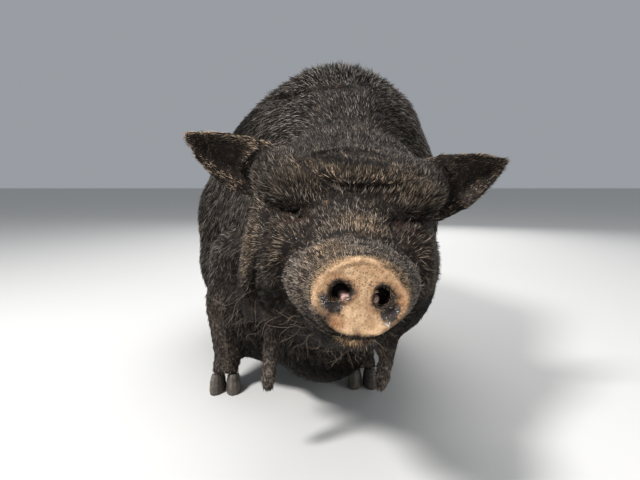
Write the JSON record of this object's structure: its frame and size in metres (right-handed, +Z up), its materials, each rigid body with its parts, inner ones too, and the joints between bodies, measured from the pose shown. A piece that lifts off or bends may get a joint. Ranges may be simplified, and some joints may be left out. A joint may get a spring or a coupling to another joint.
{
  "type": "pig",
  "caption": "Life-size still model of a fat black kunekune pig standing, head low and facing forward, mud on its snout disc, tassels under the jaw.",
  "frame": {"origin": "on the floor, below the middle of the pig's box", "axes": "+Z up, -Y the way the head faces, +X the pig's own left side"},
  "size_m": [0.5112, 1.0504, 0.5488],
  "materials": {
    "coat": "black hide under stiff black and brown bristles with pale tips",
    "mud": "grey-brown muzzle hide ending in a disc caked with dry tan mud",
    "eye": "wet, dark brown",
    "horn": "dull dark hoof horn, paler and chipped at the edge"
  },
  "bodies": {
    "root": {"trunk": "coat", "neck": "coat", "head": "coat", "lower_jaw": "coat", "tail": "coat", "ear_left": "coat", "ear_right": "coat", "wattle_left": "coat", "wattle_right": "coat", "leg_front_left": "coat", "leg_front_right": "coat", "leg_hind_left": "coat", "leg_hind_right": "coat", "snout": "mud", "eye_left": "eye", "eye_right": "eye", "claw_front_left_outer": "horn", "claw_front_left_inner": "horn", "claw_front_right_outer": "horn", "claw_front_right_inner": "horn", "claw_hind_left_outer": "horn", "claw_hind_left_inner": "horn", "claw_hind_right_outer": "horn", "claw_hind_right_inner": "horn", "dewclaw_front_left_outer": "horn", "dewclaw_front_left_inner": "horn", "dewclaw_front_right_outer": "horn", "dewclaw_front_right_inner": "horn", "dewclaw_hind_left_outer": "horn", "dewclaw_hind_left_inner": "horn", "dewclaw_hind_right_outer": "horn", "dewclaw_hind_right_inner": "horn"}
  },
  "joints": []
}
